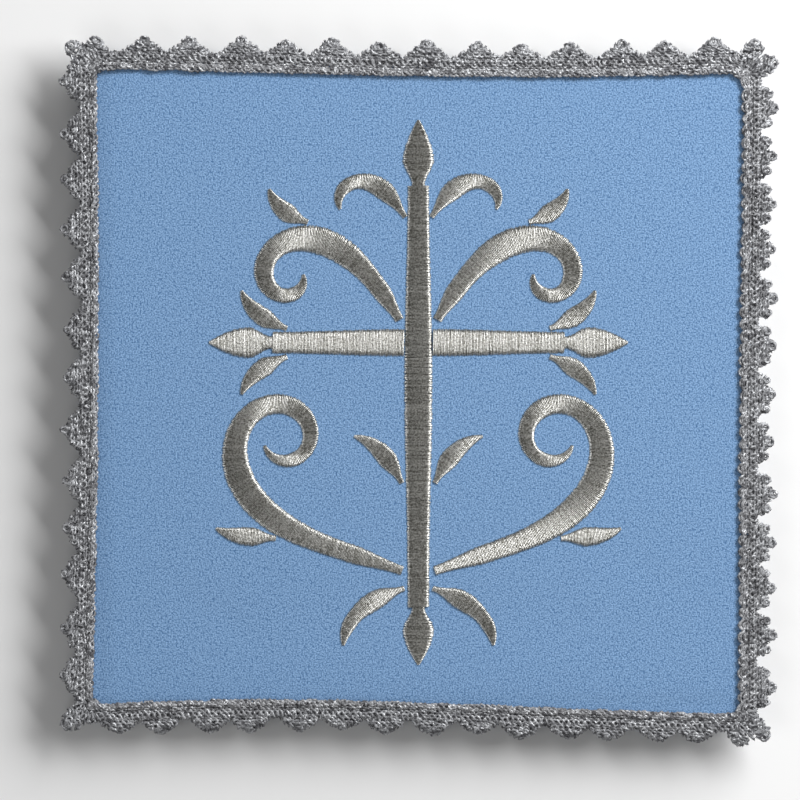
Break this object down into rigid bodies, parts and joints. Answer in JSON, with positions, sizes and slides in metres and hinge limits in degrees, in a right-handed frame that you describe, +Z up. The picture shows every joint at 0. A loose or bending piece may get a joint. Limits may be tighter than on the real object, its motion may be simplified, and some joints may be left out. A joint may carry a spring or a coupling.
{
  "type": "chalice pall",
  "caption": "Square stiffened cloth cover for a chalice, with a raised satin-stitch floriated cross and a scalloped metal lace edging.",
  "frame": {"origin": "on the resting surface, under the middle of the pall's outline", "axes": "+Z up out of the embroidered face, +Y towards the top of the cross, +X to its right"},
  "size_m": [0.1802, 0.1784, 0.0046],
  "materials": {
    "crepe": "matte pale blue crepe",
    "lace": "glittering silver-grey metal thread lace",
    "satin_thread": "lustrous silver satin stitch"
  },
  "bodies": {
    "root": {"cloth_panel": "crepe", "lace_top": "lace", "lace_right": "lace", "lace_bottom": "lace", "lace_left": "lace", "arm_bud_left": "satin_thread", "arm_bud_right": "satin_thread", "arm_leaf_down_left": "satin_thread", "arm_leaf_down_right": "satin_thread", "arm_leaf_up_left": "satin_thread", "arm_leaf_up_right": "satin_thread", "arm_left": "satin_thread", "arm_right": "satin_thread", "foot_bud": "satin_thread", "foot_leaf_left": "satin_thread", "foot_leaf_right": "satin_thread", "lower_leaf_left": "satin_thread", "lower_leaf_right": "satin_thread", "lower_scroll_left": "satin_thread", "lower_scroll_right": "satin_thread", "stem_leaf_left": "satin_thread", "stem_leaf_right": "satin_thread", "top_bud": "satin_thread", "top_curl_left": "satin_thread", "top_curl_right": "satin_thread", "upper_leaf_left": "satin_thread", "upper_leaf_right": "satin_thread", "upper_scroll_left": "satin_thread", "upper_scroll_right": "satin_thread", "upright": "satin_thread"}
  },
  "joints": []
}
